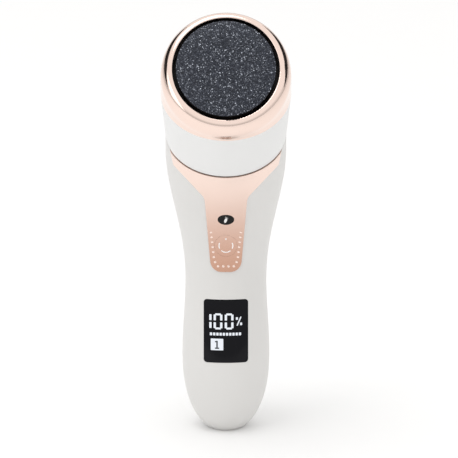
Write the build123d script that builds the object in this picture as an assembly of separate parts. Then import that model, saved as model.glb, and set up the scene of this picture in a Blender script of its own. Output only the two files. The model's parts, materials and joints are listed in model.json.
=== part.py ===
from build123d import *
from math import cos, pi, radians, sin, sqrt
import os

# Electric callus remover: an egg-footed handle that leans back, bends forward at the neck and
# carries a tilted head with a spinning abrasive disc. Millimetres, +Z up, the front faces -Y and
# the origin is the middle of the flat foot that it stands on.
#
# A "station" is a distance along the bent centreline of the handle, from the foot upwards.

# ---- handle -------------------------------------------------------------------------------
lean_back = 8.5          # degrees that the grip leans away from the front
heel_length = 12.2       # stretch of centreline that turns from upright to the lean
base_radius = 7.5        # flat foot
bulge_station = 34.2
bulge_radius = 19.8
heel_power = 2.25        # roundness of the egg-shaped end, 2 is an ellipse
waist_station = 68.2
waist_radius = 18.4
neck_start = 77.2        # where the straight grip ends
neck_radius = 96.0       # bend of the centreline at the neck
neck_turn = 39.5         # degrees of forward bend
flare_end_gap = 10.0     # the neck has its full radius this far before the seam
seam_radius = 27.4
shell_wall = 2.25
shell_floor = 2.4
heel_sections = (0, 1.5, 4, 8, 13)   # stations of the cross-sections through the egg end
upper_start = 18.0       # from here up the cross-sections are evenly spaced
section_step = 6.0
section_gap = 0.8        # no two cross-sections come closer than this
groove_width = 0.3       # parting line of the two shells
groove_depth = 0.3

# ---- head ---------------------------------------------------------------------------------
gasket_thickness = 0.5
gasket_inset = 0.7
drum_length = 26.4
disc_radius = 22.75
disc_gap = 1.45          # from the disc to the ring
rim_breadth = 5.4        # from the opening to the outside of the ring
drum_wall = 2.0
flange_bore = 17.0       # opening in the drum's floor
rim_turn = 24.0          # degrees that the rim tips forward of the drum
rim_bend = 35.3          # radius of the bend between the drum and the ring's shoulder
shoulder_depth = 7.0     # the ring's rounded shoulder, along the disc's axis
crest_width = 0.7        # flat between the shoulder and the opening, before it is rounded
crest_offset = 1.2       # the opening sits this far behind the middle of the ring
shoulder_sections = 7
lip_round = 0.6          # rounding of the crest at the opening
lip_depth = 9.0          # depth of the opening's wall
ring_wall = 2.0
opening_radius = disc_radius + disc_gap
drum_radius = opening_radius + rim_breadth   # top of the white drum

# ---- disc: heights above the rim ----------------------------------------------------------------
pad_low = -2.3
pad_edge = 0.5
pad_top = 3.0
pad_fullness = 0.72      # share of the radius where the dome starts to fall away
pad_fall = 0.45          # and how far it has fallen there
plate_low = -5.7
hub_top = -5.3
plate_inset = 0.45       # backing plate inside the edge of the pad

# ---- drive: depths below the rim ------------------------------------------------------------------
well_floor = 13.4
well_floor_thickness = 2.0
well_wall = 1.2
well_flange_gap = 0.6    # from the well's flange to the inside of the ring
bearing_radius = 5.0
bearing_height = 4.0
bearing_ledge = 1.5      # the tower is narrower than the bearing below it
shaft_radius = 2.0
running_clearance = 0.05
hub_flange_radius = 9.0
hub_flange_low = 11.1
hub_flange_thickness = 1.6
hub_across_flats = 10.0
hub_clearance = 0.1
hub_end_gap = 0.3
shaft_end_gap = 1.5      # the shaft stops this far inside the hub
socket_wall = 2.4
motor_seat = 20.4
motor_radius = 10.0
motor_wall = 0.9
motor_length = 22.0
magnet_thickness = 1.6
magnet_gap = 6.0         # between the two magnets
magnet_clearance = 2.0   # from the can's front wall
rotor_clearance = 1.0    # the core is shorter than the magnets by this, at each end
rotor_slot = 1.2
rotor_slot_depth = 2.3
air_gap = 0.6
seal_radius = 5.0
seal_height = 1.2
seal_chamfer = 0.4
motor_screw_circle = 7.0
motor_end_thickness = 2.0
terminal_spacing = 10.0
terminal_width = 2.0
terminal_thickness = 0.5
terminal_length = 3.0
plate_wall = 1.6

# ---- front trim, badge, button and display ----------------------------------------------------
trim_sight = 8.5         # the trim's outline is drawn square to a line this far above the horizon
trim_proud = 0.55
trim_sunk = 0.8
trim_view_depth = 130.0
trim_side_top = 27.2     # half widths of the trim's outline, and heights above the neck's start
trim_side_top_height = 58.1
trim_corner = 23.9
trim_corner_height = 42.4
trim_armpit = 9.7
trim_armpit_height = 27.4
tongue_tip_half = 6.7
tongue_tip_height = -6.2
trim_corner_round = 2.6
trim_armpit_round = 5.0
tongue_tip_round = 5.2
trim_layer_low = neck_start - 13.0   # the trim's layer of skin starts at this station
badge_station = neck_start + 30.0
badge_length = 7.6
badge_width = 5.7
badge_proud = 0.12
badge_sunk = 0.3
button_station = neck_start + 9.0
button_radius = 5.2
button_gap = 0.05
button_travel = 0.6
button_cap_depth = 1.9
button_flange = 1.0
button_flange_lip = 1.2
button_nib = 0.6
button_stem_radius = 4.2
window_low = 32.1
window_high = 60.9
window_width = 20.1
window_corner = 1.5
window_thickness = 1.1
window_sunk = 0.06
window_gap = 0.08
window_ledge = 1.6

# ---- inside the handle, in the grip's own frame: forward distance and station -------------------
battery_radius = 9.2
battery_length = 65.0
battery_low = 15.7
battery_back = 5.0       # the cell's axis behind the centreline
tab_thickness = 0.4
tab_width = 6.0
tab_length = 8.0
chassis_back = 5.2
chassis_thickness = 1.8
chassis_half_width = 10.5
chassis_low = 18.2
chassis_high = neck_start + 11.0
saddle_thickness = 3.0
saddle_clearance = 0.1
post_half_spacing = 12.2
post_radius = 2.0
post_stations = (26.2, neck_start + 5.0)
board_standoff = 2.2
board_thickness = 1.6
board_half_width = 11.0
board_low = 20.2
board_high = neck_start + 16.0
board_screw_half_spacing = 8.8
board_screw_stations = (22.2, neck_start - 5.0)
display_depth = 3.0
display_half_width = 8.8
display_margin = 1.2
switch_side = 6.0
switch_height = 2.5
plunger_radius = 1.6
plunger_height = 1.4
switch_pocket = 1.3
screw_radius = 0.9
screw_head_radius = 1.8
screw_head_height = 1.1
screw_slot = 0.5
screw_slot_depth = 0.4
screw_hole_gap = 0.1
screw_bite = 2.2         # thread length past the clamped wall
neck_frame_thickness = 2.4
neck_frame_gap = 0.15
neck_frame_bore = 15.0
neck_screw_circle = 20.5
socket_station = 12.0
socket_width = 8.94
socket_height = 3.26
socket_depth = 7.3
socket_shell = 0.3
socket_recess = 1.4
socket_gap = 0.15
socket_back_wall = 1.0
contact_width = 6.7
contact_thickness = 0.7
charge_board_thickness = 1.2
charge_board_half_width = 5.9
charge_board_inset = 4.05   # its back edge inside the socket's mouth
charge_board_front = 6.0
cap_thickness = 1.6
cap_radius = 6.4
cap_gap = 0.1

# ---- the centreline -------------------------------------------------------------------------
grip_length = neck_start - heel_length
neck_length = neck_radius * radians(neck_turn)
seam_station = neck_start + neck_length
flare_end = seam_station - flare_end_gap


def heading(tip):
    """The direction that tips forward of upright by so many degrees."""
    return Vector(0, -sin(radians(tip)), cos(radians(tip)))


def advance(point, tip, length, turn):
    """Where a run of the centreline ends that starts tipped forward and turns further forward."""
    if turn == 0:
        return point + heading(tip) * length
    radius = length / radians(turn)
    forward = radius * (cos(radians(tip)) - cos(radians(tip + turn)))
    rise = radius * (sin(radians(tip + turn)) - sin(radians(tip)))
    return point + Vector(0, -forward, rise)


def centre_plane(station):
    """The cross-section plane at a station: X to the right, Y to the back, Z along the handle."""
    point = Vector(0, 0, 0)
    tip = 0.0
    runs = ((heel_length, -lean_back), (grip_length, 0), (neck_length, neck_turn))
    for length, turn in runs:
        part = min(station, length)
        point = advance(point, tip, part, turn * part / length)
        tip = tip + turn * part / length
        station = station - part
    point = point + heading(tip) * station
    return Plane(origin=point, x_dir=(1, 0, 0), z_dir=heading(tip))


def ease(share):
    """A smooth step from 0 to 1."""
    return (1 - cos(pi * share)) / 2


def handle_radius(station):
    """Outer radius of the handle: egg end, bulge, waist and flare."""
    if station < bulge_station:
        share_at_base = (1 - (base_radius / bulge_radius) ** heel_power) ** (1 / heel_power)
        share = share_at_base * (bulge_station - station) / bulge_station
        return bulge_radius * (1 - share**heel_power) ** (1 / heel_power)
    if station < waist_station:
        share = (station - bulge_station) / (waist_station - bulge_station)
        return bulge_radius + (waist_radius - bulge_radius) * ease(share)
    share = min(1, (station - waist_station) / (flare_end - waist_station))
    return waist_radius + (seam_radius - waist_radius) * ease(share)


def handle_form(inset, low, high):
    """The handle's round form between two stations, shrunk by an inset (negative: grown)."""
    span = seam_station - upper_start
    count = max(2, round(span / section_step))
    upper = [upper_start + span * i / count for i in range(count + 1)]
    stations = list(heel_sections) + upper
    inner = [s for s in stations if low + section_gap < s < high - section_gap]
    sections = []
    for station in [low] + inner + [high]:
        sections.append(centre_plane(station) * Circle(handle_radius(station) - inset))
    return loft(sections)


grip = centre_plane(heel_length).offset(-heel_length)
seam = centre_plane(seam_station)
drum_foot = seam.offset(gasket_thickness)
drum_top = drum_foot.offset(drum_length)
head_tip = neck_turn - lean_back
bend_end = advance(drum_top.origin, head_tip, rim_bend * radians(rim_turn), rim_turn)
shoulder_foot = Plane(origin=bend_end, x_dir=(1, 0, 0), z_dir=heading(head_tip + rim_turn))
rim = Plane(
    origin=shoulder_foot.from_local_coords(Vector(0, crest_offset, shoulder_depth)),
    x_dir=(1, 0, 0),
    z_dir=shoulder_foot.z_dir,
)
trim_view = Plane(
    origin=centre_plane(neck_start).origin,
    x_dir=(1, 0, 0),
    z_dir=heading(90 - lean_back - trim_sight),
)


def grip_box(half_width, back, front, low, high):
    """A block in the grip's frame: forward distances and stations."""
    block = Box(2 * half_width, front - back, high - low)
    return grip * Pos(0, -(front + back) / 2, (low + high) / 2) * block


def grip_pin(x, station, radius, back, front):
    """A cylinder that points forward, in the grip's frame."""
    pin = Cylinder(radius, front - back)
    return grip * Pos(x, -(front + back) / 2, station) * Rot(90, 0, 0) * pin


def grip_post(y_forward, radius, low, high):
    """A cylinder along the grip."""
    return grip * Pos(0, -y_forward, (low + high) / 2) * Cylinder(radius, high - low)


def along_rim(radius, low, high, x=0, y=0):
    """A cylinder along the disc's axis, between two heights above the rim."""
    return rim * Pos(x, y, (low + high) / 2) * Cylinder(radius, high - low)


def ring_along_rim(outer, inner, low, high):
    return along_rim(outer, low, high) - along_rim(inner, low - 1, high + 1)


def front_half():
    """Everything forward of the centreline, as one thick block."""
    foot, heel_middle, heel, neck, neck_middle, end = [
        centre_plane(station).origin
        for station in (
            0,
            heel_length / 2,
            heel_length,
            neck_start,
            neck_start + neck_length / 2,
            seam_station,
        )
    ]
    below = foot - Vector(0, 0, 12)
    above = end + seam.z_dir * 12
    ahead = Vector(0, -140, 0)
    edges = [
        Line(below, foot),
        ThreePointArc(foot, heel_middle, heel),
        Line(heel, neck),
        ThreePointArc(neck, neck_middle, end),
        Line(end, above),
        Line(above, above + ahead),
        Line(above + ahead, below + ahead),
        Line(below + ahead, below),
    ]
    face = Face(Wire(edges))
    return extrude(face, amount=60, dir=(1, 0, 0), both=True)


forward_of_centre = front_half()


def parting_groove():
    """A thin sheet along the centreline that only marks the handle's skin."""
    ahead = Pos(0, -groove_width / 2, 0) * forward_of_centre
    behind = Pos(0, groove_width / 2, 0) * forward_of_centre
    skin = handle_form(-1, 0, seam_station) - handle_form(groove_depth, 0, seam_station)
    return (behind - ahead) & skin


def front_point(station, x, proud):
    """A point on the front of the handle at a station, so far from the middle."""
    radius = handle_radius(station) + proud
    return centre_plane(station).from_local_coords(Vector(x, -sqrt(radius**2 - x**2), 0))


def trim_prism():
    """The collar and tongue outline, pushed through the front of the neck."""
    right = [
        (trim_side_top, trim_side_top_height),
        (trim_corner, trim_corner_height),
        (trim_armpit, trim_armpit_height),
        (tongue_tip_half, tongue_tip_height),
    ]
    left = [(-x, y) for x, y in reversed(right)]
    face = make_face(Polyline(*right, *left, close=True))
    for height, radius in (
        (trim_corner_height, trim_corner_round),
        (trim_armpit_height, trim_armpit_round),
        (tongue_tip_height, tongue_tip_round),
    ):
        corners = [v for v in face.vertices() if abs(v.Y - height) < 0.01]
        face = fillet(corners, radius)
    return extrude(trim_view * face, amount=trim_view_depth) & forward_of_centre


def front_layer(outer_inset, inner_inset):
    """The part of the handle's skin between two insets, from the waist to the seam."""
    low = trim_layer_low
    return handle_form(outer_inset, low, seam_station) - handle_form(inner_inset, low, seam_station)


def badge_prism():
    """An ellipse pushed through the tongue at the badge."""
    plane = centre_plane(badge_station)
    look = Plane(origin=front_point(badge_station, 0, 0), x_dir=(1, 0, 0), z_dir=-plane.y_dir)
    face = look * Ellipse(badge_length / 2, badge_width / 2)
    return extrude(face, amount=6, both=True)


def window_prism(grow):
    """The display window's outline, pushed through the front of the grip."""
    middle = (window_low + window_high) / 2
    look = Plane(origin=grip.from_local_coords(Vector(0, 0, middle)), x_dir=(1, 0, 0), z_dir=-grip.y_dir)
    width = window_width + 2 * grow
    height = window_high - window_low + 2 * grow
    corner = max(0.4, window_corner + grow)
    return extrude(look * RectangleRounded(width, height, corner), amount=40)


def window_layer(outer_inset, inner_inset):
    low = window_low - 10
    high = window_high + 10
    return handle_form(outer_inset, low, high) - handle_form(inner_inset, low, high)


def button_bore(radius):
    return grip_pin(0, button_station, radius, 6, 40)


def socket_place():
    """The charging socket's middle, at the lower back of the grip, looking backwards."""
    depth = handle_radius(socket_station) - socket_recess
    return Plane(
        origin=grip.from_local_coords(Vector(0, depth, socket_station)),
        x_dir=(1, 0, 0),
        z_dir=grip.y_dir,
    )


def socket_prism(grow, back, front):
    """A rounded slot through the wall for the charging socket."""
    height = socket_height + 2 * grow
    face = RectangleRounded(socket_width + 2 * grow, height, height / 2 - 0.05)
    block = extrude(face, amount=front + back)
    return socket_place() * Pos(0, 0, -back) * block


# ---- the pieces --------------------------------------------------------------------------------
def shell_hollow():
    """The handle's wall with its flat foot and open neck."""
    outside = handle_form(0, 0, seam_station)
    inside = handle_form(shell_wall, shell_floor, seam_station)
    hollow = outside - inside - parting_groove()
    return hollow - Pos(0, 0, cap_thickness / 2) * Cylinder(cap_radius + cap_gap, cap_thickness)


def chassis_posts():
    """Screw posts that rise from the back shell to the chassis."""
    posts = []
    for station in post_stations:
        for side in (-1, 1):
            x = side * post_half_spacing
            posts.append(grip_pin(x, station, post_radius, -30, chassis_back))
    return posts


def handle_front_shell(hollow):
    shell = hollow & forward_of_centre
    shell = shell - (trim_prism() & front_layer(-2, trim_sunk))
    pocket = window_prism(window_gap) & window_layer(-2, window_sunk + window_thickness)
    shell = shell - pocket - window_prism(-window_ledge)
    return shell - button_bore(button_radius + button_gap)


def handle_back_shell(hollow):
    shell = hollow - forward_of_centre
    within = handle_form(shell_wall / 4, shell_floor, seam_station)
    for post in chassis_posts():
        shell = shell + (post & within)
    for station in post_stations:
        for side in (-1, 1):
            hole = grip_pin(side * post_half_spacing, station, screw_radius, 0, chassis_back + 1)
            shell = shell - hole
    return shell - socket_prism(socket_gap, 2, 10)


def base_cap():
    return Pos(0, 0, cap_thickness / 2) * Cylinder(cap_radius, cap_thickness)


def trim_collar():
    trim = front_layer(-trim_proud, trim_sunk) & trim_prism()
    trim = trim - (badge_prism() & front_layer(-2, badge_sunk - trim_proud))
    return trim - button_bore(button_radius + button_gap)


def badge_inlay():
    return badge_prism() & front_layer(-trim_proud - badge_proud, badge_sunk - trim_proud)


def power_button():
    """A cap flush with the trim, its skirt, a retaining flange and the nib on the switch."""
    cap = front_layer(-trim_proud, button_cap_depth) & button_bore(button_radius)
    top = handle_radius(button_station) - button_cap_depth / 2
    flange_top = switch_front() + plunger_height + button_nib + button_flange
    flange_low = flange_top - button_flange
    flange = grip_pin(0, button_station, button_radius + button_flange_lip, flange_low, flange_top)
    stem = grip_pin(0, button_station, button_stem_radius, flange_low, top)
    nib = grip_pin(0, button_station, plunger_radius, flange_low - button_nib, flange_top)
    return cap + stem + flange + nib


def display_window():
    return window_prism(0) & window_layer(window_sunk, window_sunk + window_thickness)


def board_front():
    return chassis_back + chassis_thickness + board_standoff + board_thickness


def switch_front():
    return board_front() + switch_height


def main_board():
    front = board_front()
    board = grip_box(board_half_width, front - board_thickness, front, board_low, board_high)
    for x, station in board_screw_places():
        board = board - grip_pin(x, station, screw_radius + screw_hole_gap, front - 5, front + 1)
    return board


def board_screw_places():
    side = board_screw_half_spacing
    return [(x, station) for station in board_screw_stations for x in (-side, side)]


def screw_group(places, shank_back, head_back, axis_maker):
    """Pan-head screws that point backwards: one solid each."""
    screws = []
    for x, station in places:
        shank = axis_maker(x, station, screw_radius, shank_back, head_back)
        head = axis_maker(x, station, screw_head_radius, head_back, head_back + screw_head_height)
        top = head_back + screw_head_height
        half = screw_slot / 2
        slot = grip_box(screw_head_radius, top - screw_slot_depth, top, station - half, station + half)
        screws.append(shank + head - slot)
    return Compound(children=screws)


def board_screws():
    return screw_group(board_screw_places(), chassis_back + 0.4, board_front(), grip_pin)


def chassis_screws():
    places = [(x * post_half_spacing, s) for s in post_stations for x in (-1, 1)]
    return screw_group(places, 1.0, chassis_back + chassis_thickness, grip_pin)


def inner_chassis():
    back = chassis_back
    front = chassis_back + chassis_thickness
    plate = grip_box(chassis_half_width, back, front, chassis_low, chassis_high)
    for station in post_stations:
        ears = grip_box(post_half_spacing, back, front, station - post_radius, station + post_radius)
        plate = plate + ears
        for side in (-1, 1):
            plate = plate + grip_pin(side * post_half_spacing, station, post_radius, back, front)
    saddle_half = chassis_half_width
    for low in (battery_low + saddle_thickness, battery_low + battery_length - 2 * saddle_thickness):
        saddle = grip_box(saddle_half, -battery_back, back, low, low + saddle_thickness)
        plate = plate + saddle
    for x, station in board_screw_places():
        plate = plate + grip_pin(x, station, screw_head_radius, front, front + board_standoff)
    cell = battery_bore(battery_radius + saddle_clearance, battery_low - 5, battery_low + battery_length + 5)
    plate = plate - cell
    for x, station in board_screw_places():
        plate = plate - grip_pin(x, station, screw_radius, back + 0.4, front + 5)
    hole = screw_radius + screw_hole_gap
    for station in post_stations:
        for x in (-post_half_spacing, post_half_spacing):
            plate = plate - grip_pin(x, station, hole, back - 1, front + 1)
    return plate


def battery_bore(radius, low, high):
    return grip * Pos(0, battery_back, (low + high) / 2) * Cylinder(radius, high - low)


def battery_cell():
    high = battery_low + battery_length
    cell = battery_bore(battery_radius, battery_low, high)
    return chamfer(cell.edges().filter_by(GeomType.CIRCLE), 0.5)


def battery_tabs():
    """Nickel tabs on the two ends of the cell."""
    tabs = []
    high = battery_low + battery_length
    for low in (battery_low - tab_thickness, high):
        place = Pos(0, battery_back, low + tab_thickness / 2)
        tabs.append(grip * place * Box(tab_width, tab_length, tab_thickness))
    return Compound(children=tabs)


def display_module():
    front = board_front()
    low = window_low + display_margin
    high = window_high - display_margin
    return grip_box(display_half_width, front, front + display_depth, low, high)


def power_switch():
    half = switch_side / 2
    front = switch_front()
    body = grip_box(half, board_front(), front, button_station - half, button_station + half)
    bore = plunger_radius + running_clearance
    return body - grip_pin(0, button_station, bore, front - switch_pocket, front + 1)


def switch_plunger():
    """It rests on the button's nib and sinks into the switch with it."""
    front = switch_front()
    low = front - switch_pocket + button_travel + 0.1
    return grip_pin(0, button_station, plunger_radius, low, front + plunger_height)


def charging_socket():
    slot = socket_prism(0, socket_depth, 0)
    height = socket_height - 2 * socket_shell
    face = RectangleRounded(socket_width - 2 * socket_shell, height, height / 2 - 0.05)
    hollow = socket_place() * Pos(0, 0, -socket_depth + socket_back_wall) * extrude(face, amount=socket_depth)
    contacts = Box(contact_width, contact_thickness, socket_depth - 2 * socket_shell)
    return slot - hollow + socket_place() * Pos(0, 0, -socket_depth / 2) * contacts


def charge_board():
    top = socket_station - socket_height / 2
    back = handle_radius(socket_station) - socket_recess - charge_board_inset
    block = Box(2 * charge_board_half_width, back + charge_board_front, charge_board_thickness)
    y = (back - charge_board_front) / 2
    return grip * Pos(0, y, top - charge_board_thickness / 2) * block


def neck_frame():
    """A ring inside the mouth of the handle that the head is screwed to."""
    outer = seam_radius - shell_wall - neck_frame_gap
    place = seam.offset(-neck_frame_thickness)
    ring = extrude(place * Circle(outer), amount=neck_frame_thickness)
    ring = ring - extrude(place * Circle(neck_frame_bore), amount=neck_frame_thickness)
    for angle in neck_screw_angles():
        hole = Pos(*polar(neck_screw_circle, angle)) * Cylinder(screw_radius, 20)
        ring = ring - seam * hole
    return ring


def polar(radius, angle):
    return Vector(radius * cos(radians(angle)), radius * sin(radians(angle)), 0)


def neck_screw_angles():
    return [90 + 120 * i for i in range(3)]


def seam_gasket():
    outer = seam_radius - gasket_inset
    inner = seam_radius - shell_wall
    return extrude(seam * (Circle(outer) - Circle(inner)), amount=gasket_thickness)


def head_drum():
    outside = loft([drum_foot * Circle(seam_radius), drum_top * Circle(drum_radius)])
    floor = drum_foot.offset(drum_wall)
    start = seam_radius - drum_wall
    inside = loft([floor * Circle(start), drum_top * Circle(drum_radius - drum_wall)])
    drum = outside - inside
    drum = drum - extrude(drum_foot * Circle(flange_bore), amount=drum_wall)
    for angle in neck_screw_angles():
        hole = Pos(*polar(neck_screw_circle, angle)) * Cylinder(screw_radius + screw_hole_gap, 20)
        drum = drum - seam * hole
    return drum


def screw_slot_block():
    """The driver slot, centred on the top of a screw's head."""
    return Box(2 * screw_head_radius, screw_slot, 2 * screw_slot_depth)


def neck_screws():
    screws = []
    seat = gasket_thickness + drum_wall
    for angle in neck_screw_angles():
        place = Pos(*polar(neck_screw_circle, angle))
        shank = place * Pos(0, 0, (seat - screw_bite) / 2) * Cylinder(screw_radius, seat + screw_bite)
        head = Cylinder(screw_head_radius, screw_head_height)
        head = place * Pos(0, 0, seat + screw_head_height / 2) * head
        slot = place * Pos(0, 0, seat + screw_head_height) * screw_slot_block()
        screws.append(seam * (shank + head - slot))
    return Compound(children=screws)


def bend_form(radius):
    """A round bar from the drum's top round the bend to the foot of the ring's shoulder."""
    hinge = Axis(drum_top.from_local_coords(Vector(0, -rim_bend, 0)), (1, 0, 0))
    return revolve(drum_top * Circle(radius), hinge, rim_turn)


def ring_shoulder():
    """The ring's convex shoulder: a quarter of an ellipse, broader at the front than at the back."""
    crest_radius = opening_radius + crest_width
    sections = []
    for i in range(shoulder_sections):
        turn = pi / 2 * i / (shoulder_sections - 1)
        middle = Vector(0, crest_offset * (1 - cos(turn)), shoulder_depth * sin(turn))
        radius = crest_radius + (drum_radius - crest_radius) * cos(turn)
        plane = Plane(shoulder_foot.from_local_coords(middle), (1, 0, 0), shoulder_foot.z_dir)
        sections.append(plane * Circle(radius))
    return loft(sections)


def guard_ring():
    """The wedge-shaped ring with its broad round lip."""
    body = bend_form(drum_radius) + ring_shoulder()
    above = along_rim(2 * drum_radius, -lip_depth, 1)
    body = body - (bend_form(drum_radius - ring_wall) - above)
    body = body - along_rim(opening_radius, -lip_depth - 1, 1)
    inner_edge = body.edges().sort_by_distance(rim.origin + rim.y_dir * opening_radius)[0]
    return fillet(inner_edge, lip_round)


def disc_well():
    """The pan behind the disc: flange, wall, floor and the tower that the motor hangs on."""
    floor_low = -well_floor - well_floor_thickness
    outer = opening_radius + well_wall
    pan = along_rim(outer, floor_low, -lip_depth)
    flange = drum_radius - ring_wall - crest_offset - well_flange_gap
    pan = pan + along_rim(flange, -lip_depth - well_wall, -lip_depth)
    pan = pan - along_rim(opening_radius, -well_floor, 1)
    pan = pan + along_rim(motor_radius, -motor_seat, floor_low)
    pan = pan - along_rim(bearing_radius, -well_floor - bearing_height, 0)
    pan = pan - along_rim(bearing_radius - bearing_ledge, -motor_seat - 1, 0)
    for x in (-motor_screw_circle, motor_screw_circle):
        pan = pan - along_rim(screw_radius + screw_hole_gap, -motor_seat - 1, 0, x=x)
    return pan


def spindle_bearing():
    low = -well_floor - bearing_height
    return ring_along_rim(bearing_radius, shaft_radius + running_clearance, low, -well_floor)


def shaft_seal():
    low = -well_floor
    ring = ring_along_rim(seal_radius, shaft_radius + running_clearance, low, low + seal_height)
    top = ring.edges().filter_by(GeomType.CIRCLE).sort_by_distance(rim.offset(low + seal_height).origin)
    return chamfer([e for e in top if abs(e.radius - seal_radius) < 0.01][:1], seal_chamfer)


def motor_screws():
    screws = []
    for x in (-motor_screw_circle, motor_screw_circle):
        shank = along_rim(screw_radius, -motor_seat - motor_wall, -well_floor, x=x)
        head = along_rim(screw_head_radius, -well_floor, -well_floor + screw_head_height, x=x)
        slot = rim * Pos(x, 0, -well_floor + screw_head_height) * screw_slot_block()
        screws.append(shank + head - slot)
    return Compound(children=screws)


def motor_can():
    """An open-backed steel can with a front wall."""
    low = -motor_seat - motor_length
    can = along_rim(motor_radius, low, -motor_seat)
    can = can - along_rim(motor_radius - motor_wall, low - 1, -motor_seat - motor_wall)
    can = can - along_rim(bearing_radius - bearing_ledge, -motor_seat - 2, -motor_seat + 1)
    for x in (-motor_screw_circle, motor_screw_circle):
        can = can - along_rim(screw_radius, -motor_seat - 2, -motor_seat + 1, x=x)
    return can


def magnet_span():
    """Where the magnets start and end, clear of the motor's two end walls."""
    low = -motor_seat - motor_length + motor_end_thickness + magnet_clearance
    return low, -motor_seat - motor_wall - magnet_clearance


def motor_magnets():
    """Two arc magnets against the can."""
    low, high = magnet_span()
    outer = motor_radius - motor_wall
    ring = ring_along_rim(outer, outer - magnet_thickness, low, high)
    gap = rim * Pos(0, 0, (low + high) / 2) * Box(magnet_gap, 3 * outer, high - low)
    return ring - gap


def motor_end():
    """The plastic end of the motor with its rear bush."""
    low = -motor_seat - motor_length
    outer = motor_radius - motor_wall
    return ring_along_rim(outer, shaft_radius + running_clearance, low, low + motor_end_thickness)


def motor_terminals():
    middle = -motor_seat - motor_length - terminal_length / 2
    tags = []
    for x in (-terminal_spacing / 2, terminal_spacing / 2):
        tags.append(rim * Pos(x, 0, middle) * Box(terminal_width, terminal_thickness, terminal_length))
    return Compound(children=tags)


def motor_rotor():
    """The wound core, with its three slots."""
    low, high = magnet_span()
    low = low + rotor_clearance
    high = high - rotor_clearance
    outer = motor_radius - motor_wall - magnet_thickness - air_gap
    core = ring_along_rim(outer, shaft_radius, low, high)
    for angle in neck_screw_angles():
        place = rim * Rot(0, 0, angle) * Pos(outer, 0, (low + high) / 2)
        core = core - place * Box(2 * rotor_slot_depth, rotor_slot, high - low)
    return core


def motor_shaft():
    low = -motor_seat - motor_length
    return along_rim(shaft_radius, low, hub_top - shaft_end_gap)


def hexagon(across_flats, low, high):
    shape = RegularPolygon(across_flats / 2, 6, major_radius=False)
    return extrude(rim.offset(low) * shape, amount=high - low)


def drive_hub():
    """It is pressed on the shaft and drives the disc through a hexagon."""
    low = -hub_flange_low
    hub = along_rim(hub_flange_radius, low, low + hub_flange_thickness)
    hub = hub + hexagon(hub_across_flats, low, hub_top)
    return hub - along_rim(shaft_radius, low - 1, hub_top - shaft_end_gap)


def disc_plate():
    """The disc's black carrier, with a hexagon socket that pushes on to the hub."""
    edge = disc_radius - plate_inset
    foot = -hub_flange_low + hub_flange_thickness
    plate = along_rim(edge, plate_low, pad_low)
    plate = plate - ring_along_rim(edge - plate_wall, hub_across_flats, plate_low - 1, pad_low - plate_wall)
    plate = plate + along_rim(hub_across_flats / 2 + socket_wall, foot, pad_low)
    return plate - hexagon(hub_across_flats + 2 * hub_clearance, foot - 1, hub_top + hub_end_gap)


def abrasive_pad():
    """A domed pad with a full round edge."""
    edge_round = pad_edge - pad_low
    profile = make_face(
        [
            Line((0, pad_low), (disc_radius - edge_round, pad_low)),
            ThreePointArc(
                (disc_radius - edge_round, pad_low),
                (disc_radius - edge_round * (1 - sqrt(0.5)), pad_edge - edge_round * sqrt(0.5)),
                (disc_radius, pad_edge),
            ),
            Spline(
                [(disc_radius, pad_edge), (disc_radius * pad_fullness, pad_top - pad_fall), (0, pad_top)],
                tangents=[(0, 1), (-1, 0)],
            ),
            Line((0, pad_top), (0, pad_low)),
        ]
    )
    return rim * revolve(Plane.XZ * profile, Axis.Z)


def export(node, shape):
    shape.label = node
    export_step(shape, "parts/" + node + ".step")


if __name__ == "__main__":
    os.makedirs("parts", exist_ok=True)
    hollow = shell_hollow()
    export("handle_front_shell", handle_front_shell(hollow))
    export("handle_back_shell", handle_back_shell(hollow))
    export("base_cap", base_cap())
    export("trim_collar", trim_collar())
    export("badge_inlay", badge_inlay())
    export("power_button", power_button())
    export("display_window", display_window())
    export("main_board", main_board())
    export("board_screws", board_screws())
    export("chassis_screws", chassis_screws())
    export("inner_chassis", inner_chassis())
    export("battery_cell", battery_cell())
    export("battery_tabs", battery_tabs())
    export("display_module", display_module())
    export("power_switch", power_switch())
    export("switch_plunger", switch_plunger())
    export("charging_socket", charging_socket())
    export("charge_board", charge_board())
    export("neck_frame", neck_frame())
    export("seam_gasket", seam_gasket())
    export("head_drum", head_drum())
    export("neck_screws", neck_screws())
    export("guard_ring", guard_ring())
    export("disc_well", disc_well())
    export("spindle_bearing", spindle_bearing())
    export("shaft_seal", shaft_seal())
    export("motor_screws", motor_screws())
    export("motor_can", motor_can())
    export("motor_magnets", motor_magnets())
    export("motor_end", motor_end())
    export("motor_terminals", motor_terminals())
    export("motor_rotor", motor_rotor())
    export("motor_shaft", motor_shaft())
    export("drive_hub", drive_hub())
    export("disc_plate", disc_plate())
    export("abrasive_pad", abrasive_pad())
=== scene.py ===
"""Finishes and fine pieces for an electric callus remover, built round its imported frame."""

import json
from math import cos, pi, radians, sin

import bpy
from bpy.props import FloatProperty, FloatVectorProperty, IntProperty, PointerProperty
from mathutils import Matrix, Vector


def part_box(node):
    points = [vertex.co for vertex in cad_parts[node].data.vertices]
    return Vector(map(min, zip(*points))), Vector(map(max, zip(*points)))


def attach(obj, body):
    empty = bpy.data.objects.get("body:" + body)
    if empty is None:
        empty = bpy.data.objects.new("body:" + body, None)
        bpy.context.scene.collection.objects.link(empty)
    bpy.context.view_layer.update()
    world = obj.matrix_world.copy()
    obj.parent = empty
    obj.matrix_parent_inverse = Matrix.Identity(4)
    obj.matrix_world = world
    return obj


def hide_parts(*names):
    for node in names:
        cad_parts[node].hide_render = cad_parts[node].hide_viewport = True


bl_info = {
    "name": "Callus Remover Looks",
    "version": (1, 0, 0),
    "blender": (4, 5, 0),
    "location": "View3D > Sidebar > Foot Care",
    "description": "Models the fine pieces of a callus remover and gives every piece its finish",
    "category": "Object",
}

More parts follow.
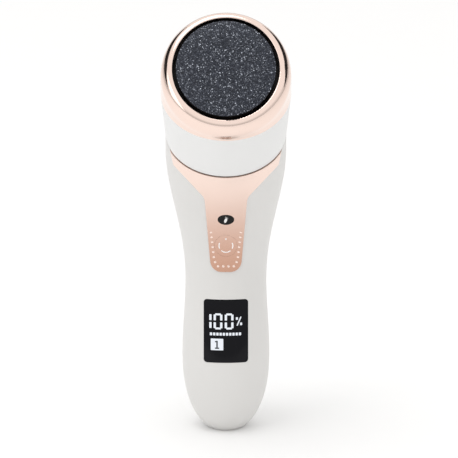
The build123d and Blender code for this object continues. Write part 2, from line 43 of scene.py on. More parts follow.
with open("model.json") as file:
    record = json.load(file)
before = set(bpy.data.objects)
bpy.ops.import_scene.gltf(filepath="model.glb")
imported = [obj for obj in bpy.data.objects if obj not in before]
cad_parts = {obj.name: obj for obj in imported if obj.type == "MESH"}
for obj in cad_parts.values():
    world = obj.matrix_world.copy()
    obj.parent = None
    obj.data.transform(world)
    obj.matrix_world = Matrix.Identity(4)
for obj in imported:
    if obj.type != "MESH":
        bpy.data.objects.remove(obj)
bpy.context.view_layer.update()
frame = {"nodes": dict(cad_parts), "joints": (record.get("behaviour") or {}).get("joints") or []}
nodes = frame["nodes"]
joints = {joint["name"]: joint for joint in frame["joints"]}
MM = 0.001

# ---- directions and places that the frame gives ------------------------------------------------
right = Vector((1, 0, 0))
disc_axis = Vector(joints["disc_spin"]["axis"]).normalized()
rim_middle = Vector(joints["disc_spin"]["pos_m"])
grip_back = Vector(joints["power_button_press"]["axis"]).normalized()
grip_up = right.cross(grip_back)
grip_front = -grip_back


def box_middle(node):
    """The middle of a node's box."""
    low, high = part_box(node)
    return (Vector(low) + Vector(high)) / 2


def reach(node, direction):
    """How far a node's points go along a direction: the least and the most."""
    spans = [direction.dot(vertex.co) for vertex in nodes[node].data.vertices]
    return min(spans), max(spans)


def front_middle(node):
    """The middle of a node on the front of the grip, on the centre plane."""
    low, high = reach(node, grip_up)
    front = reach(node, grip_front)[1]
    return grip_up * (low + high) / 2 + grip_front * front


def axes_matrix(origin, up):
    """A frame at a place with Z along a direction and X to the right."""
    up = up.normalized()
    turn = Matrix((right, up.cross(right), up)).transposed()
    return Matrix.Translation(origin) @ turn.to_4x4()


# ---- sizes and colours a user would change -------------------------------------------------------
class StageSizes(bpy.types.PropertyGroup):
    """Camera and studio."""

    view_elevation: FloatProperty(
        name="View elevation", description="Camera height above the horizon",
        default=radians(17.0), subtype="ANGLE")
    view_distance: FloatProperty(
        name="View distance", description="Camera to object", default=10.0, unit="LENGTH")
    view_height: FloatProperty(
        name="View height", description="Height that fills the picture", default=0.2088, unit="LENGTH")
    aim_up: FloatProperty(
        name="Aim height", description="Middle of the picture above the foot, square to the view",
        default=0.0895, unit="LENGTH")
    aim_right: FloatProperty(
        name="Aim right", description="Middle of the picture right of the foot",
        default=0.0014, unit="LENGTH")
    floor_size: FloatProperty(
        name="Floor size", description="Side of the floor", default=14.0, unit="LENGTH")
    sky: FloatProperty(name="Sky", description="Strength of the light tent overhead", default=1.0)
    horizon: FloatProperty(name="Horizon", description="Strength of the tent at the horizon", default=0.62)


class GritSizes(bpy.types.PropertyGroup):
    """The abrasive pad."""

    steps: IntProperty(name="Steps", description="Points round the pad", default=480, min=24)
    ring_gap: FloatProperty(
        name="Ring spacing", description="Between the pad's rings of points", default=0.3 * MM, unit="LENGTH")
    grain: FloatProperty(name="Grain", description="Width of a grain", default=0.36 * MM, unit="LENGTH")
    height: FloatProperty(name="Height", description="Height of a grain", default=0.22 * MM, unit="LENGTH")


class TrimSizes(bpy.types.PropertyGroup):
    """Beads, power symbol and badge mark."""

    bead_width: FloatProperty(
        name="Bead width", description="Across a grip bead", default=1.3 * MM, unit="LENGTH")
    bead_height: FloatProperty(
        name="Bead height", description="Above the tongue", default=0.3 * MM, unit="LENGTH")
    bead_pitch: FloatProperty(
        name="Bead pitch", description="From bead to bead", default=2.38 * MM, unit="LENGTH")
    side_beads: IntProperty(name="Side beads", description="In each straight row", default=6, min=1)
    end_beads: IntProperty(name="End beads", description="In the row at the tip", default=4, min=1)
    symbol_radius: FloatProperty(
        name="Symbol radius", description="Power symbol", default=3.15 * MM, unit="LENGTH")
    symbol_line: FloatProperty(
        name="Symbol line", description="Width of its line", default=0.5 * MM, unit="LENGTH")


class DisplaySizes(bpy.types.PropertyGroup):
    """The lit figures."""

    figure_width: FloatProperty(
        name="Figure width", description="Of a nought", default=4.0 * MM, unit="LENGTH")
    figure_height: FloatProperty(
        name="Figure height", description="Of a figure", default=7.3 * MM, unit="LENGTH")
    stroke: FloatProperty(name="Stroke", description="Width of a bar", default=1.05 * MM, unit="LENGTH")
    bar_count: IntProperty(name="Charge bars", description="In the charge gauge", default=10, min=1)


class Finishes(bpy.types.PropertyGroup):
    """Colours of the object's finishes."""

    shell_white: FloatVectorProperty(
        name="Shell white", description="Satin handle", subtype="COLOR", size=4,
        default=(0.72, 0.71, 0.695, 1))
    drum_white: FloatVectorProperty(
        name="Drum white", description="Head drum", subtype="COLOR", size=4,
        default=(0.80, 0.80, 0.795, 1))
    rose_gold: FloatVectorProperty(
        name="Rose gold", description="Plated trim and ring", subtype="COLOR", size=4,
        default=(0.92, 0.74, 0.66, 1))
    # Painted shade: a darker plating colour towards the tongue's tip, standing in for the darker reflection
    # there.
    shaded_gold: FloatVectorProperty(
        name="Deep rose gold", description="Towards the tongue's tip", subtype="COLOR", size=4,
        default=(0.58, 0.34, 0.25, 1))
    lit: FloatVectorProperty(
        name="Lit", description="Figures on the display", subtype="COLOR", size=4,
        default=(0.86, 0.90, 0.96, 1))


# ---- node helpers ----------------------------------------------------------------------------------
def new_material(name):
    """A material with an empty tree apart from its surface shader and output."""
    material = bpy.data.materials.new(name)
    material.use_nodes = True
    tree = material.node_tree
    return material, tree, tree.nodes["Principled BSDF"]


def surface_group():
    """Fine moulding or plating texture: tint mask, roughness and height over the surface."""
    group = bpy.data.node_groups.get("fine_surface")
    if group:
        return group
    group = bpy.data.node_groups.new("fine_surface", "ShaderNodeTree")
    face = group.interface
    face.new_socket(name="Vector", in_out="INPUT", socket_type="NodeSocketVector")
    for name in ("Scale", "Roughness", "Spread"):
        face.new_socket(name=name, in_out="INPUT", socket_type="NodeSocketFloat")
    for name in ("Patches", "Roughness", "Height"):
        face.new_socket(name=name, in_out="OUTPUT", socket_type="NodeSocketFloat")
    source = group.nodes.new("NodeGroupInput")
    result = group.nodes.new("NodeGroupOutput")
    fine = group.nodes.new("ShaderNodeTexNoise")
    fine.inputs["Detail"].default_value = 4
    patches = group.nodes.new("ShaderNodeTexNoise")
    patches.inputs["Scale"].default_value = 90
    low = group.nodes.new("ShaderNodeMath")
    low.operation = "SUBTRACT"
    high = group.nodes.new("ShaderNodeMath")
    high.operation = "ADD"
    spread = group.nodes.new("ShaderNodeMapRange")
    link = group.links.new
    link(source.outputs["Vector"], fine.inputs["Vector"])
    link(source.outputs["Scale"], fine.inputs["Scale"])
    link(source.outputs["Vector"], patches.inputs["Vector"])
    for bound, limit in ((low, "To Min"), (high, "To Max")):
        link(source.outputs["Roughness"], bound.inputs[0])
        link(source.outputs["Spread"], bound.inputs[1])
        link(bound.outputs[0], spread.inputs[limit])
    link(patches.outputs["Fac"], spread.inputs["Value"])
    link(patches.outputs["Fac"], result.inputs["Patches"])
    link(spread.outputs["Result"], result.inputs["Roughness"])
    link(fine.outputs["Fac"], result.inputs["Height"])
    return group


def finish(name, colour, roughness, spread=0.05, grain=1800, bump=0.1, metallic=0.0, tint=0.93,
           tip_shade=None, specular=0.5):
    """A moulded, painted or plated finish with fine grain, uneven gloss and a slight tint change.

    A tip shade gives a second, darker colour and the two heights up the grip between which it gives way to
    the first; it is painted shade that darkens the plating towards the tongue's tip.
    """
    material, tree, shader = new_material(name)
    place = tree.nodes.new("ShaderNodeTexCoord")
    fine = tree.nodes.new("ShaderNodeGroup")
    fine.node_tree = surface_group()
    fine.inputs["Scale"].default_value = grain
    fine.inputs["Roughness"].default_value = roughness
    fine.inputs["Spread"].default_value = spread
    raised = tree.nodes.new("ShaderNodeBump")
    raised.inputs["Strength"].default_value = bump
    raised.inputs["Distance"].default_value = 0.05 * MM
    mix = tree.nodes.new("ShaderNodeMix")
    mix.data_type = "RGBA"
    mix.inputs[6].default_value = colour
    mix.inputs[7].default_value = [value * tint for value in colour[:3]] + [1]
    tree.links.new(place.outputs["Object"], fine.inputs["Vector"])
    tree.links.new(fine.outputs["Patches"], mix.inputs["Factor"])
    colour_socket = mix.outputs[2]
    # Painted shade: the colour darkens towards the tongue's tip.
    if tip_shade:
        colour_socket = shade_towards_tip(tree, place.outputs["Object"], colour_socket, *tip_shade)
    tree.links.new(colour_socket, shader.inputs["Base Color"])
    tree.links.new(fine.outputs["Roughness"], shader.inputs["Roughness"])
    tree.links.new(fine.outputs["Height"], raised.inputs["Height"])
    tree.links.new(raised.outputs["Normal"], shader.inputs["Normal"])
    shader.inputs["Metallic"].default_value = metallic
    shader.inputs["Specular IOR Level"].default_value = specular
    return material


def plating(name, colour, roughness, tip_shade=None):
    """A bright plated finish, nearly smooth."""
    return finish(name, colour, roughness, 0.03, 900, 0.01, metallic=1.0, tint=0.97, tip_shade=tip_shade)


def shade_towards_tip(tree, place, colour_socket, shade_colour, low, high):
    """Painted shade: a colour that goes over into a darker one down the grip, standing in for the darker
    reflection at the tongue's tip.
    """
    height = tree.nodes.new("ShaderNodeVectorMath")
    height.operation = "DOT_PRODUCT"
    height.inputs[1].default_value = grip_up
    share = tree.nodes.new("ShaderNodeMapRange")
    share.interpolation_type = "SMOOTHSTEP"
    share.inputs["From Min"].default_value = low
    share.inputs["From Max"].default_value = high
    mix = tree.nodes.new("ShaderNodeMix")
    mix.data_type = "RGBA"
    mix.inputs[6].default_value = shade_colour
    tree.links.new(place, height.inputs[0])
    tree.links.new(height.outputs["Value"], share.inputs["Value"])
    tree.links.new(share.outputs["Result"], mix.inputs["Factor"])
    tree.links.new(colour_socket, mix.inputs[7])
    return mix.outputs[2]


def put_on(material, *names):
    """Gives CAD nodes a finish."""
    for name in names:
        slots = nodes[name].data.materials
        slots.clear()
        slots.append(material)


# ---- modelling helpers --------------------------------------------------------------------------------
def start():
    """Nothing is selected and no mode is open."""
    if bpy.context.object and bpy.context.object.mode != "OBJECT":
        bpy.ops.object.mode_set(mode="OBJECT")
    bpy.ops.object.select_all(action="DESELECT")


def keep(name, body, material):
    """Names the piece in hand, gives it its finish and lets it ride."""
    piece = bpy.context.object
    piece.name = name
    piece.data.name = name
    piece.data.materials.clear()
    piece.data.materials.append(material)
    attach(piece, body)
    return piece


def settle():
    """Puts the object's place, turn and size into its mesh."""
    bpy.ops.object.transform_apply(location=True, rotation=True, scale=True)


def choose(piece, test):
    """Enters edit mode with only the points that pass a test selected."""
    bpy.ops.object.mode_set(mode="EDIT")
    bpy.ops.mesh.select_mode(type="VERT")
    bpy.ops.mesh.select_all(action="DESELECT")
    bpy.ops.object.mode_set(mode="OBJECT")
    for vertex in piece.data.vertices:
        vertex.select = test(vertex.co)
    bpy.ops.object.mode_set(mode="EDIT")


def join(pieces):
    """Joins pieces into the first one."""
    start()
    for piece in pieces:
        piece.select_set(True)
    bpy.context.view_layer.objects.active = pieces[0]
    bpy.ops.object.join()
    return bpy.context.object


def clean():
    """Merges doubles and turns every face outwards."""
    bpy.ops.object.mode_set(mode="EDIT")
    bpy.ops.mesh.select_all(action="SELECT")
    bpy.ops.mesh.remove_doubles(threshold=0.002 * MM)
    bpy.ops.mesh.normals_make_consistent(inside=False)
    bpy.ops.object.mode_set(mode="OBJECT")


def plate(width, height, corner, thickness, place=(0, 0), cuts=6):
    """A thin flat plate with rounded corners, in a grid fine enough to follow a curved face."""
    start()
    bpy.ops.mesh.primitive_grid_add(x_subdivisions=cuts, y_subdivisions=cuts, size=1)
    bpy.ops.object.mode_set(mode="EDIT")
    bpy.ops.transform.resize(value=(width, height, 1))
    bpy.ops.object.mode_set(mode="OBJECT")
    piece = bpy.context.object
    choose(piece, lambda co: abs(co.x) > 0.49 * width and abs(co.y) > 0.49 * height)
    bpy.ops.mesh.bevel(offset=corner, segments=2, affect="VERTICES")
    bpy.ops.mesh.select_all(action="SELECT")
    bpy.ops.mesh.extrude_region_move(TRANSFORM_OT_translate={"value": (0, 0, thickness)})
    bpy.ops.mesh.select_all(action="SELECT")
    bpy.ops.transform.translate(value=(place[0], place[1], -thickness / 2))
    bpy.ops.object.mode_set(mode="OBJECT")
    return piece


def lay_on(piece, node, middle):
    """Lays a flat piece on the front of a CAD node, point by point, square to the grip."""
    surface = nodes[node]
    away = 20 * MM
    for vertex in piece.data.vertices:
        x, y, z = vertex.co
        above = middle + right * x + grip_up * y + grip_front * away
        hit, point, _, _ = surface.ray_cast(above, grip_back)
        if not hit:
            raise RuntimeError(piece.name + " doesn't lie on " + node)
        vertex.co = point + grip_front * z
    piece.data.update()


# ---- operators ---------------------------------------------------------------------------------------
class BuildStage(bpy.types.Operator):
    """Floor, light tent, softboxes, dark flags and camera"""

    bl_idname = "foot_care.stage"
    bl_label = "Stage"
    sensor_width = 36
    far_clip = 60
    lamp_aim = Vector((0, 0, 0.1))
    softboxes = (
        ("softbox_top", (-0.25, -0.15, 1.3), 0.7, 3.2),
        ("softbox_left", (-1.2, -0.9, 0.7), 0.8, 1.6),
    )
    flag_out = 0.37
    flag_back = 0.15
    flag_up = 0.36
    flag_turn = 65
    flag_size = (0.60, 0.26, 1)

    def execute(self, context):
        sizes = context.scene.foot_care_stage
        start()
        bpy.ops.mesh.primitive_plane_add(size=sizes.floor_size, location=(0, 0, 0))
        floor = context.object
        floor.name = "studio_floor"
        paper = finish("studio_paper", (0.93, 0.93, 0.93, 1), 0.8, 0.03, 40, 0.05, tint=0.99)
        floor.data.materials.append(paper)
        self.tent(sizes)
        self.flags()
        for name, place, size, power in self.softboxes:
            lamp = bpy.data.lights.new(name, "AREA")
            lamp.size = size
            lamp.energy = power
            holder = bpy.data.objects.new(name, lamp)
            holder.location = place
            aim = Vector(place) - self.lamp_aim
            holder.rotation_euler = aim.to_track_quat("Z", "Y").to_euler()
            context.scene.collection.objects.link(holder)
        elevation = sizes.view_elevation
        away = Vector((0, -cos(elevation), sin(elevation)))
        up = Vector((0, sin(elevation), cos(elevation)))
        target = up * sizes.aim_up + right * sizes.aim_right
        camera = bpy.data.cameras.new("studio_camera")
        camera.sensor_width = self.sensor_width
        camera.lens = camera.sensor_width * sizes.view_distance / sizes.view_height
        camera.clip_end = self.far_clip
        stand = bpy.data.objects.new("studio_camera", camera)
        stand.location = target + away * sizes.view_distance
        stand.rotation_euler = away.to_track_quat("Z", "Y").to_euler()
        context.scene.collection.objects.link(stand)
        context.scene.camera = stand
        context.scene.view_settings.view_transform = "Standard"
        return {"FINISHED"}

    def tent(self, sizes):
        """A light tent: bright overhead, dimmer towards the horizon."""
        world = bpy.data.worlds.new("light_tent")
        world.use_nodes = True
        tree = world.node_tree
        place = tree.nodes.new("ShaderNodeTexCoord")
        split = tree.nodes.new("ShaderNodeSeparateXYZ")
        rise = tree.nodes.new("ShaderNodeMapRange")
        rise.interpolation_type = "SMOOTHSTEP"
        rise.inputs["From Min"].default_value = 0.02
        rise.inputs["From Max"].default_value = 0.45
        rise.inputs["To Min"].default_value = sizes.horizon
        rise.inputs["To Max"].default_value = sizes.sky
        tree.links.new(place.outputs["Generated"], split.inputs["Vector"])
        tree.links.new(split.outputs["Z"], rise.inputs["Value"])
        tree.links.new(rise.outputs["Result"], tree.nodes["Background"].inputs["Strength"])
        tree.nodes["Background"].inputs["Color"].default_value = (1, 0.995, 0.985, 1)
        bpy.context.scene.world = world

    def flags(self):
        """Dark flags beside the object, which only the plated pieces show."""
        felt = finish("flag_felt", (0.004, 0.003, 0.003, 1), 0.95)
        for name, side in (("flag_left", -1), ("flag_right", 1)):
            start()
            bpy.ops.mesh.primitive_plane_add(
                size=1, location=(side * self.flag_out, self.flag_back, self.flag_up),
                rotation=(pi / 2, 0, radians(-side * self.flag_turn)))
            flag = bpy.context.object
            flag.scale = self.flag_size
            flag.name = name
            flag.data.materials.append(felt)
            flag.visible_camera = False
            flag.visible_shadow = False
            flag.visible_diffuse = False


class FinishCadNodes(bpy.types.Operator):
    """Finishes of the frame's own pieces"""

    bl_idname = "foot_care.cad_finishes"
    bl_label = "Frame finishes"

    def execute(self, context):
        colours = context.scene.foot_care_finishes
        put_on(finish("satin_shell", colours.shell_white, 0.42, 0.04, 2600, 0.12, tint=0.985),
               "handle_front_shell", "handle_back_shell")
        put_on(finish("drum_plastic", colours.drum_white, 0.35, 0.04, 2600, 0.08, tint=0.985), "head_drum")
        # Painted shade on the trim and button: the plating darkens from the tongue's tip to three quarters of
        # the way up the collar.
        tip, collar = reach("trim_collar", grip_up)
        tip_shade = (colours.shaded_gold, tip, tip + 0.75 * (collar - tip))
        put_on(plating("rose_plating", colours.rose_gold, 0.10), "guard_ring")
        put_on(plating("trim_plating", colours.rose_gold, 0.16, tip_shade), "trim_collar")
        put_on(plating("button_plating", colours.rose_gold, 0.20, tip_shade), "power_button")
        put_on(finish("black_glass", (0.006, 0.006, 0.008, 1), 0.06, 0.02, 900, 0.01, specular=0.16),
               "display_window")
        put_on(finish("black_enamel", (0.008, 0.008, 0.008, 1), 0.2, 0.05, 900, 0.05, specular=0.16),
               "badge_inlay")
        put_on(finish("foot_rubber", (0.42, 0.41, 0.40, 1), 0.75, 0.08, 1400, 0.4), "base_cap")
        put_on(finish("seal_rubber", (0.02, 0.02, 0.02, 1), 0.7, 0.08, 1600, 0.4),
               "seam_gasket", "shaft_seal")
        put_on(finish("well_plastic", (0.012, 0.009, 0.009, 1), 0.45, 0.1, 1800, 0.15),
               "disc_well", "disc_plate", "drive_hub")
        put_on(finish("frame_plastic", (0.03, 0.03, 0.034, 1), 0.5, 0.1, 1500, 0.25),
               "inner_chassis", "neck_frame", "motor_end", "power_switch", "switch_plunger", "display_module")
        put_on(finish("solder_mask", (0.02, 0.12, 0.05, 1), 0.35, 0.1, 700, 0.3, tint=0.5),
               "main_board", "charge_board")
        put_on(finish("zinc_steel", (0.56, 0.56, 0.55, 1), 0.3, 0.1, 2000, 0.2, metallic=1.0),
               "board_screws", "chassis_screws", "neck_screws", "motor_screws", "spindle_bearing",
               "charging_socket", "motor_can", "motor_shaft", "battery_tabs")
        put_on(finish("core_steel", (0.22, 0.21, 0.21, 1), 0.45, 0.1, 3000, 0.5, metallic=1.0), "motor_rotor")
        put_on(finish("magnet_black", (0.05, 0.05, 0.055, 1), 0.6, 0.1, 1200, 0.5), "motor_magnets")
        put_on(finish("brass_tags", (0.72, 0.52, 0.22, 1), 0.3, 0.1, 1500, 0.2, metallic=1.0),
               "motor_terminals")
        put_on(finish("cell_sleeve", (0.02, 0.08, 0.32, 1), 0.3, 0.08, 900, 0.1, tint=0.8), "battery_cell")
        return {"FINISHED"}


class BuildGritPad(bpy.types.Operator):
    """The abrasive pad: a dome of rings with raised grains"""

    bl_idname = "foot_care.grit_pad"
    bl_label = "Abrasive pad"
    edge_share = 0.53       # of the pad's height, up to where its rim ends
    dome_power = 4.5        # flatness of the middle
    dome_fall = 0.8         # steepness towards the rim

    def execute(self, context):
        sizes = context.scene.foot_care_grit
        offset = disc_axis.dot(rim_middle)
        low, high = [value - offset for value in reach("abrasive_pad", disc_axis)]
        radius = reach("abrasive_pad", right)[1]
        rings = self.profile(low, high, radius, sizes)
        start()
        first_radius, first_height = rings[0]
        bpy.ops.mesh.primitive_circle_add(
            vertices=sizes.steps, radius=first_radius, location=(0, 0, first_height))
        bpy.ops.object.mode_set(mode="EDIT")
        bpy.ops.mesh.select_all(action="SELECT")
        for (old, height), (new, next_height) in zip(rings, rings[1:]):
            bpy.ops.mesh.extrude_edges_move()
            bpy.ops.transform.resize(value=(new / old, new / old, 1), center_override=(0, 0, 0))
            bpy.ops.transform.translate(value=(0, 0, next_height - height))
        bpy.ops.mesh.merge(type="CENTER")
        bpy.ops.object.mode_set(mode="OBJECT")
        settle()
        piece = context.object
        foot = min(vertex.co.z for vertex in piece.data.vertices) + 0.001 * MM
        choose(piece, lambda co: co.z < foot)
        bpy.ops.mesh.edge_face_add()
        bpy.ops.object.mode_set(mode="OBJECT")
        clean()
        self.roughen(piece, sizes)
        piece.data.transform(axes_matrix(rim_middle, disc_axis))
        keep("grit_pad", "disc", self.grit(sizes))
        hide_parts("abrasive_pad")
        return {"FINISHED"}

    def profile(self, low, high, radius, sizes):
        """Radius and height of each ring, from the pad's foot over its round edge to the middle."""
        proud = sizes.height / 2
        edge = low + (high - low) * self.edge_share
        bend = edge - low
        outer = radius - proud
        top = high - proud
        count = max(4, round(bend * pi / 2 / sizes.ring_gap))
        rings = []
        for i in range(count + 1):
            turn = pi / 2 * i / count
            rings.append((outer - bend + bend * sin(turn), low + bend - bend * cos(turn)))
        count = round(outer / sizes.ring_gap)
        for i in range(1, count):
            r = outer * (1 - i / count)
            rise = (1 - (r / outer) ** self.dome_power) ** self.dome_fall
            rings.append((r, edge + (top - edge) * rise))
        return rings

    def roughen(self, piece, sizes):
        """Raised grains of two sizes."""
        for name, width, height in (
            ("grains", sizes.grain, sizes.height),
            ("fines", sizes.grain * 0.5, sizes.height * 0.5),
        ):
            pattern = bpy.data.textures.new(name, "VORONOI")
            pattern.noise_scale = width
            pattern.distance_metric = "DISTANCE"
            push = piece.modifiers.new(name, "DISPLACE")
            push.texture = pattern
            push.texture_coords = "LOCAL"
            push.strength = height
            push.mid_level = 0.5
            bpy.context.view_layer.objects.active = piece
            bpy.ops.object.modifier_apply(modifier=name)

    def grit(self, sizes):
        """Dark grains with a few bright ones, each with its own shade and gloss."""
        material, tree, shader = new_material("grit")
        place = tree.nodes.new("ShaderNodeTexCoord")
        cells = tree.nodes.new("ShaderNodeTexVoronoi")
        cells.inputs["Scale"].default_value = 1 / sizes.grain
        split = tree.nodes.new("ShaderNodeSeparateColor")
        shader.inputs["Specular IOR Level"].default_value = 0.3
        shade = tree.nodes.new("ShaderNodeValToRGB")
        stops = shade.color_ramp.elements
        stops[0].position = 0.0
        stops[0].color = (0.008, 0.010, 0.016, 1)
        stops[1].position = 1.0
        stops[1].color = (0.62, 0.66, 0.74, 1)
        for position, colour in (
            (0.5, (0.015, 0.018, 0.028, 1)),
            (0.84, (0.05, 0.057, 0.078, 1)),
            (0.96, (0.16, 0.17, 0.20, 1)),
        ):
            stop = stops.new(position)
            stop.color = colour
        gloss = tree.nodes.new("ShaderNodeMapRange")
        gloss.inputs["To Min"].default_value = 0.35
        gloss.inputs["To Max"].default_value = 0.75
        noise = tree.nodes.new("ShaderNodeTexNoise")
        noise.inputs["Scale"].default_value = 3 / sizes.grain
        raised = tree.nodes.new("ShaderNodeBump")
        raised.inputs["Strength"].default_value = 0.6
        raised.inputs["Distance"].default_value = 0.1 * MM
        link = tree.links.new
        link(place.outputs["Object"], cells.inputs["Vector"])
        link(place.outputs["Object"], noise.inputs["Vector"])
        link(cells.outputs["Color"], split.inputs["Color"])
        link(split.outputs["Red"], shade.inputs["Fac"])
        link(shade.outputs["Color"], shader.inputs["Base Color"])
        link(split.outputs["Green"], gloss.inputs["Value"])
        link(gloss.outputs["Result"], shader.inputs["Roughness"])
        link(noise.outputs["Fac"], raised.inputs["Height"])
        link(raised.outputs["Normal"], shader.inputs["Normal"])
        return material


class BuildBeads(bpy.types.Operator):
    """Grip beads round the tongue's tip"""

    bl_idname = "foot_care.beads"
    bl_label = "Grip beads"
    first_up = 7.1 * MM
    first_out = 5.45 * MM
    row_lean = 0.107        # outwards for each step up
    corner_out = 4.85 * MM
    corner_up = 4.75 * MM
    end_up = 2.85 * MM

    def execute(self, context):
        sizes = context.scene.foot_care_trim
        colours = context.scene.foot_care_finishes
        tip = grip_up * reach("trim_collar", grip_up)[0]
        start()
        bpy.ops.mesh.primitive_uv_sphere_add(segments=20, ring_count=12, radius=sizes.bead_width / 2)
        bpy.ops.object.mode_set(mode="EDIT")
        bpy.ops.mesh.select_all(action="SELECT")
        bpy.ops.mesh.bisect(plane_co=(0, 0, -0.1 * sizes.bead_width), plane_no=(0, 0, 1),
                            use_fill=True, clear_inner=True)
        bpy.ops.mesh.select_all(action="SELECT")
        squeeze = sizes.bead_height / (sizes.bead_width / 2)
        bpy.ops.transform.resize(value=(1, 1, squeeze), center_override=(0, 0, 0))
        bpy.ops.object.mode_set(mode="OBJECT")
        bpy.ops.object.shade_smooth_by_angle(angle=radians(40))
        pattern = context.object
        beads = []
        for x, y in self.places(sizes):
            bead = pattern.copy()
            bead.data = pattern.data.copy()
            context.scene.collection.objects.link(bead)
            above = tip + right * x + grip_up * y + grip_front * 40 * MM
            hit, point, normal, _ = nodes["trim_collar"].ray_cast(above, grip_back)
            if not hit:
                raise RuntimeError("a bead misses the tongue")
            bead.data.transform(axes_matrix(point, normal))
            beads.append(bead)
        bpy.data.objects.remove(pattern)
        join(beads)
        keep("tongue_beads", "housing", plating("bead_plating", colours.rose_gold, 0.08))
        return {"FINISHED"}

    def places(self, sizes):
        """Across and up from the tongue's tip: two straight rows, two corners and the end row."""
        pitch = sizes.bead_pitch
        for side in (-1, 1):
            for i in range(sizes.side_beads):
                yield side * (self.first_out + self.row_lean * pitch * i), self.first_up + pitch * i
            yield side * self.corner_out, self.corner_up
        for i in range(sizes.end_beads):
            yield (i - (sizes.end_beads - 1) / 2) * pitch, self.end_up


class BuildPowerSymbol(bpy.types.Operator):
    """Raised power symbol on the button: three arcs and a dot, coloured near-white as painted highlight on
    the gold.
    """

    bl_idname = "foot_care.power_symbol"
    bl_label = "Power symbol"
    arcs = ((pi, 0.52), (0, 0.52), (-pi / 2, 0.78))    # middle and half spread of each

    def execute(self, context):
        sizes = context.scene.foot_care_trim
        parts = []
        for middle, half in self.arcs:
            start()
            bpy.ops.mesh.primitive_circle_add(vertices=96, radius=sizes.symbol_radius)
            arc = context.object
            aim = Vector((cos(middle), sin(middle)))
            choose(arc, lambda co: co.xy.angle(aim) > half)
            bpy.ops.mesh.delete(type="VERT")
            bpy.ops.object.mode_set(mode="OBJECT")
            bpy.ops.object.convert(target="CURVE")
            arc = context.object
            arc.data.bevel_depth = sizes.symbol_line / 2
            arc.data.bevel_resolution = 3
            arc.data.use_fill_caps = True
            bpy.ops.object.convert(target="MESH")
            parts.append(context.object)
        dot = sizes.symbol_line * 1.3
        parts.append(plate(dot, dot, 0.4 * dot, sizes.symbol_line, (0, sizes.symbol_radius * 1.05)))
        piece = join(parts)
        bpy.ops.object.mode_set(mode="EDIT")
        bpy.ops.mesh.select_all(action="SELECT")
        bpy.ops.transform.resize(value=(1, 1, 0.5), center_override=(0, 0, 0))
        bpy.ops.object.mode_set(mode="OBJECT")
        clean()
        bpy.ops.object.shade_smooth_by_angle(angle=radians(50))
        lay_on(piece, "power_button", front_middle("power_button"))
        # Painted highlight: the arcs and the dot sit where the symbol's edges and the top of its bar catch
        # the light, and their near-white colour stands in for those glints on the button's gold.
        keep("power_symbol", "button",
             finish("symbol_painted_highlight", (0.93, 0.90, 0.89, 1), 0.22, 0.05, 1500, 0.05, metallic=0.6, tint=0.97))
        return {"FINISHED"}


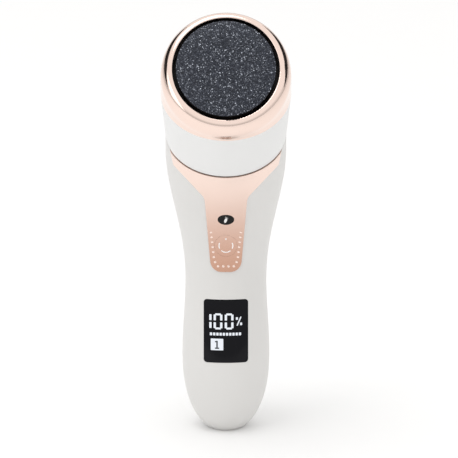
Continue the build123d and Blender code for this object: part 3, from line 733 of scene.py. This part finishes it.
class BuildDisplay(bpy.types.Operator):
    """Lit figures, charge gauge and mode box on the display"""

    bl_idname = "foot_care.display"
    bl_label = "Display figures"
    thickness = 0.04 * MM
    figures_up = 4.5 * MM
    one_across = -7.05 * MM
    nought_across = (-3.6 * MM, 1.45 * MM)
    percent_across = 5.95 * MM
    gauge_length = 14.6 * MM
    gauge_across = -0.2 * MM
    gauge_up = -1.3 * MM
    box_place = (-4.05 * MM, -6.05 * MM)
    box_size = (5.7 * MM, 5.3 * MM)

    def execute(self, context):
        sizes = context.scene.foot_care_display
        colours = context.scene.foot_care_finishes
        middle = front_middle("display_window")
        parts = self.one(self.one_across, self.figures_up, sizes)
        for across in self.nought_across:
            parts += self.nought(across, self.figures_up, sizes)
        parts += self.percent(self.percent_across, self.figures_up)
        step = self.gauge_length / sizes.bar_count
        for i in range(sizes.bar_count):
            x = (i + 0.5) * step - self.gauge_length / 2 + self.gauge_across
            parts.append(plate(step * 0.74, 1.3 * MM, 0.2 * MM, self.thickness, (x, self.gauge_up)))
        box = self.box_place
        parts.append(plate(*self.box_size, 0.2 * MM, self.thickness, box, 10))
        figures = join(parts)
        clean()
        lay_on(figures, "display_window", middle)
        keep("display_figures", "housing", self.lit(colours))
        number = join([
            plate(0.7 * MM, 3.4 * MM, 0.1 * MM, self.thickness, box, 10),
            plate(1.9 * MM, 0.6 * MM, 0.1 * MM, self.thickness, (box[0], box[1] - 1.7 * MM), 10),
            plate(0.9 * MM, 0.6 * MM, 0.1 * MM, self.thickness, (box[0] - 0.5 * MM, box[1] + 1.3 * MM), 10)])
        for vertex in number.data.vertices:
            vertex.co.z += self.thickness
        clean()
        lay_on(number, "display_window", middle)
        keep("display_mode", "housing",
             finish("mode_ink", (0.03, 0.04, 0.05, 1), 0.5, 0.05, 1500, 0.05))
        return {"FINISHED"}

    def one(self, x, y, sizes):
        """Two upright bars."""
        length = (sizes.figure_height - sizes.stroke) / 2 - 0.45 * MM
        rise = sizes.figure_height / 4 - 0.05 * MM
        return [plate(sizes.stroke, length, 0.24 * sizes.stroke, self.thickness, (x, y + side * rise))
                for side in (-1, 1)]

    def nought(self, x, y, sizes):
        """Four upright bars and two level ones."""
        reach_out = (sizes.figure_width - sizes.stroke) / 2
        parts = self.one(x - reach_out, y, sizes) + self.one(x + reach_out, y, sizes)
        for side in (-1, 1):
            rise = side * (sizes.figure_height - sizes.stroke * 0.85) / 2
            width = sizes.figure_width - sizes.stroke * 1.35
            parts.append(plate(width, sizes.stroke * 0.85, 0.3 * sizes.stroke, self.thickness, (x, y + rise)))
        return parts

    def percent(self, x, y):
        """Two small squares with a bar between them."""
        bar = plate(0.55 * MM, 4.4 * MM, 0.15 * MM, self.thickness)
        bpy.ops.object.mode_set(mode="EDIT")
        bpy.ops.mesh.select_all(action="SELECT")
        bpy.ops.transform.rotate(value=radians(24), orient_axis="Z", center_override=(0, 0, 0))
        bpy.ops.transform.translate(value=(x, y, 0))
        bpy.ops.object.mode_set(mode="OBJECT")
        squares = [
            plate(0.95 * MM, 1.2 * MM, 0.3 * MM, self.thickness,
                  (x + side * 0.95 * MM, y - side * 1.25 * MM))
            for side in (-1, 1)]
        return [bar] + squares

    def lit(self, colours):
        """Lit display segments with a faint unevenness."""
        material, tree, shader = new_material("lit_segments")
        place = tree.nodes.new("ShaderNodeTexCoord")
        noise = tree.nodes.new("ShaderNodeTexNoise")
        noise.inputs["Scale"].default_value = 900
        mix = tree.nodes.new("ShaderNodeMix")
        mix.data_type = "RGBA"
        mix.inputs[6].default_value = colours.lit
        mix.inputs[7].default_value = [value * 0.9 for value in colours.lit[:3]] + [1]
        tree.links.new(place.outputs["Object"], noise.inputs["Vector"])
        tree.links.new(noise.outputs["Fac"], mix.inputs["Factor"])
        tree.links.new(mix.outputs[2], shader.inputs["Emission Color"])
        shader.inputs["Base Color"].default_value = (0.05, 0.05, 0.055, 1)
        shader.inputs["Emission Strength"].default_value = 0.95
        shader.inputs["Roughness"].default_value = 0.3
        return material


class BuildBadgeMark(bpy.types.Operator):
    """A small footprint on the badge"""

    bl_idname = "foot_care.badge_mark"
    bl_label = "Badge mark"

    def execute(self, context):
        parts = []
        lean = radians(-18)
        blobs = [(0.0, -0.35, 0.62, 1.25)]
        for i in range(5):
            blobs.append((-0.62 + 0.31 * i, 1.35 - 0.11 * abs(i - 1.2) ** 1.4, 0.13, 0.17 - 0.012 * i))
        for x, y, half_width, half_height in blobs:
            start()
            bpy.ops.mesh.primitive_circle_add(vertices=20, radius=1, fill_type="NGON")
            bpy.ops.object.mode_set(mode="EDIT")
            bpy.ops.mesh.select_all(action="SELECT")
            bpy.ops.mesh.inset(thickness=0.25, depth=0.12)
            bpy.ops.mesh.select_all(action="SELECT")
            bpy.ops.transform.resize(
                value=(half_width * MM, half_height * MM, 0.3 * MM), center_override=(0, 0, 0))
            bpy.ops.mesh.extrude_region_move(TRANSFORM_OT_translate={"value": (0, 0, -0.04 * MM)})
            bpy.ops.mesh.select_all(action="SELECT")
            bpy.ops.transform.translate(value=(x * MM, y * MM, 0.05 * MM))
            bpy.ops.transform.rotate(value=-lean, orient_axis="Z", center_override=(0, 0, 0))
            bpy.ops.object.mode_set(mode="OBJECT")
            parts.append(context.object)
        piece = join(parts)
        clean()
        lay_on(piece, "badge_inlay", box_middle("badge_inlay"))
        keep("badge_mark", "housing",
             finish("mark_silver", (0.85, 0.84, 0.83, 1), 0.3, 0.05, 1500, 0.05, metallic=0.5))
        return {"FINISHED"}


class LooksPanel(bpy.types.Panel):
    """Lists the operators in the sidebar"""

    bl_idname = "VIEW3D_PT_foot_care"
    bl_label = "Callus remover"
    bl_space_type = "VIEW_3D"
    bl_region_type = "UI"
    bl_category = "Foot Care"

    def draw(self, context):
        for maker in makers:
            self.layout.operator(maker.bl_idname)


groups = (
    ("foot_care_stage", StageSizes),
    ("foot_care_grit", GritSizes),
    ("foot_care_trim", TrimSizes),
    ("foot_care_display", DisplaySizes),
    ("foot_care_finishes", Finishes),
)
makers = (
    BuildStage,
    FinishCadNodes,
    BuildGritPad,
    BuildBeads,
    BuildPowerSymbol,
    BuildDisplay,
    BuildBadgeMark,
)


def register():
    for name, group in groups:
        bpy.utils.register_class(group)
        setattr(bpy.types.Scene, name, PointerProperty(type=group))
    for item in makers + (LooksPanel,):
        bpy.utils.register_class(item)


def unregister():
    for item in reversed(makers + (LooksPanel,)):
        bpy.utils.unregister_class(item)
    for name, group in reversed(groups):
        delattr(bpy.types.Scene, name)
        bpy.utils.unregister_class(group)


def main():
    register()
    for maker in makers:
        space, name = maker.bl_idname.split(".")
        getattr(getattr(bpy.ops, space), name)()


if __name__ == "__main__":
    main()
